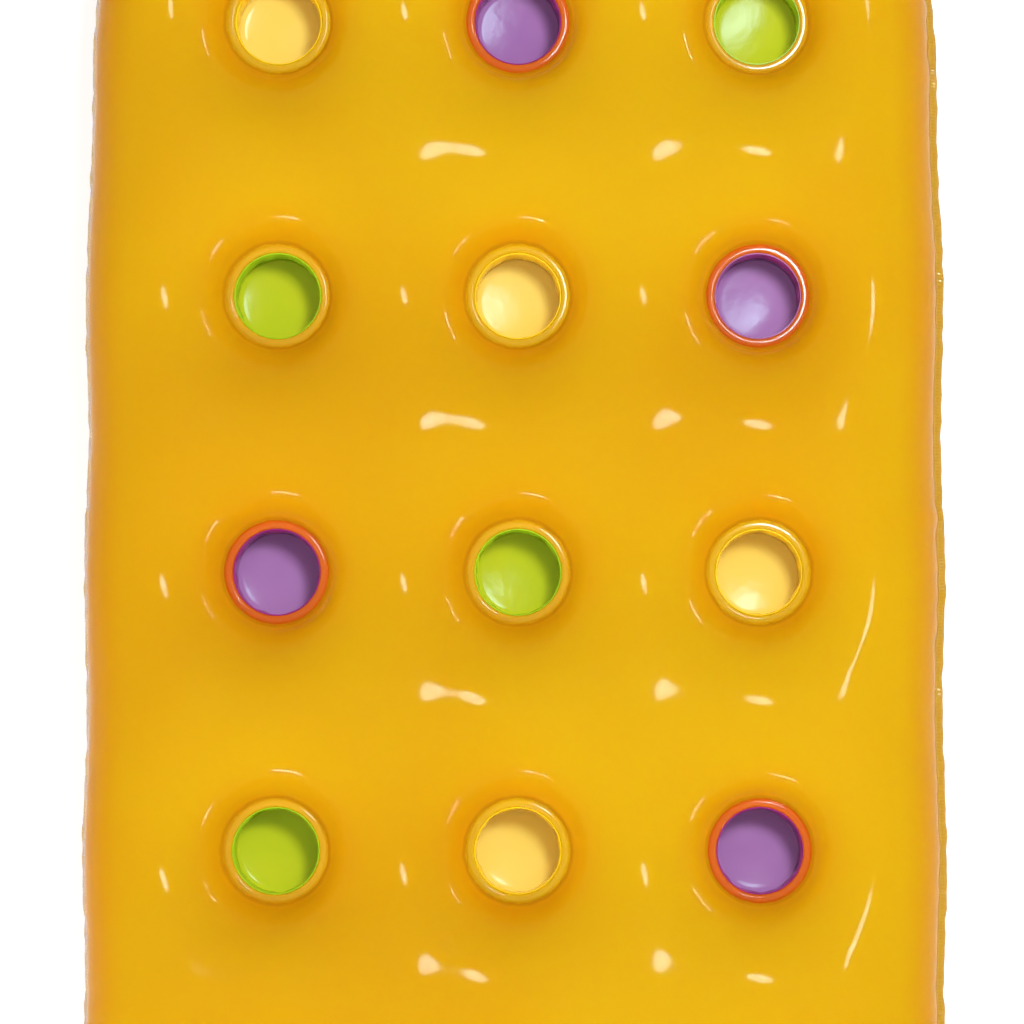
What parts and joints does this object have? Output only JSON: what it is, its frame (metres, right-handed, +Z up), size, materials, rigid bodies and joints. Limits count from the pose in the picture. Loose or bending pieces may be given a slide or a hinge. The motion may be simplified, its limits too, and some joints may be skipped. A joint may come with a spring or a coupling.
{
  "type": "inflatable pool lounger",
  "caption": "Inflatable film mattress with round welded cooling pockets, a hinged pillow chamber and push-in air valves, shown blown up and lying flat.",
  "frame": {"origin": "on the ground under the middle of the whole lounger", "axes": "+Z up through the upper film, +Y along the lounger towards the pillow, +X to the right seen from above with the pillow ahead"},
  "size_m": [0.678, 1.7634, 0.1286],
  "materials": {
    "orange_film": "glossy translucent orange vinyl film",
    "yellow_insert": "glossy translucent yellow vinyl film",
    "green_insert": "glossy translucent lime green vinyl film",
    "purple_insert": "glossy translucent purple vinyl film",
    "clear_valve": "soft milky clear moulded vinyl"
  },
  "bodies": {
    "mattress": {"mattress_upper_film": "orange_film", "mattress_lower_film": "orange_film", "mattress_valve_base": "clear_valve", "pocket_sleeve_r1_c1": "yellow_insert", "pocket_sleeve_r1_c2": "purple_insert", "pocket_sleeve_r1_c3": "green_insert", "pocket_sleeve_r2_c1": "green_insert", "pocket_sleeve_r2_c2": "yellow_insert", "pocket_sleeve_r2_c3": "purple_insert", "pocket_sleeve_r3_c1": "purple_insert", "pocket_sleeve_r3_c2": "green_insert", "pocket_sleeve_r3_c3": "yellow_insert", "pocket_sleeve_r4_c1": "green_insert", "pocket_sleeve_r4_c2": "yellow_insert", "pocket_sleeve_r4_c3": "purple_insert", "pocket_sleeve_r5_c1": "yellow_insert", "pocket_sleeve_r5_c2": "purple_insert", "pocket_sleeve_r5_c3": "green_insert", "pocket_sleeve_r6_c1": "green_insert", "pocket_sleeve_r6_c2": "yellow_insert", "pocket_sleeve_r6_c3": "purple_insert", "pocket_window_r1_c1": "yellow_insert", "pocket_window_r1_c2": "purple_insert", "pocket_window_r1_c3": "green_insert", "pocket_window_r2_c1": "green_insert", "pocket_window_r2_c2": "yellow_insert", "pocket_window_r2_c3": "purple_insert", "pocket_window_r3_c1": "purple_insert", "pocket_window_r3_c2": "green_insert", "pocket_window_r3_c3": "yellow_insert", "pocket_window_r4_c1": "green_insert", "pocket_window_r4_c2": "yellow_insert", "pocket_window_r4_c3": "purple_insert", "pocket_window_r5_c1": "yellow_insert", "pocket_window_r5_c2": "purple_insert", "pocket_window_r5_c3": "green_insert", "pocket_window_r6_c1": "green_insert", "pocket_window_r6_c2": "yellow_insert", "pocket_window_r6_c3": "purple_insert"},
    "pillow": {"pillow_upper_film": "orange_film", "pillow_lower_film": "orange_film", "pillow_valve_base": "clear_valve"},
    "mattress_stem": {"mattress_valve_stem": "clear_valve", "mattress_valve_strap": "clear_valve"},
    "mattress_plug": {"mattress_valve_plug": "clear_valve"},
    "mattress_flap": {"mattress_valve_flap": "clear_valve"},
    "pillow_stem": {"pillow_valve_stem": "clear_valve", "pillow_valve_strap": "clear_valve"},
    "pillow_plug": {"pillow_valve_plug": "clear_valve"},
    "pillow_flap": {"pillow_valve_flap": "clear_valve"}
  },
  "joints": [
    {"name": "pillow_fold", "type": "hinge", "parent": "mattress", "child": "pillow", "pos_m": [0, 0.51375, 0.05845], "axis": [1, 0, 0], "range_deg": [-60, 60]},
    {"name": "mattress_stem_pull", "type": "slide", "parent": "mattress", "child": "mattress_stem", "axis": [0, 0, 1], "range_m": [0, 0.012]},
    {"name": "mattress_plug_pull", "type": "slide", "parent": "mattress_stem", "child": "mattress_plug", "axis": [0, 0, 1], "range_m": [0, 0.009]},
    {"name": "mattress_flap_swing", "type": "hinge", "parent": "mattress_stem", "child": "mattress_flap", "pos_m": [-0.0997, -0.80875, 0.10211], "axis": [0, 1, 0], "range_deg": [0, 40], "stiffness_Nm_per_rad": 0.001},
    {"name": "pillow_stem_pull", "type": "slide", "parent": "pillow", "child": "pillow_stem", "axis": [0, 0, 1], "range_m": [0, 0.012]},
    {"name": "pillow_plug_pull", "type": "slide", "parent": "pillow_stem", "child": "pillow_plug", "axis": [0, 0, 1], "range_m": [0, 0.009]},
    {"name": "pillow_flap_swing", "type": "hinge", "parent": "pillow_stem", "child": "pillow_flap", "pos_m": [0.1888, 0.69975, 0.10565], "axis": [0, 1, 0], "range_deg": [0, 40], "stiffness_Nm_per_rad": 0.001}
  ]
}
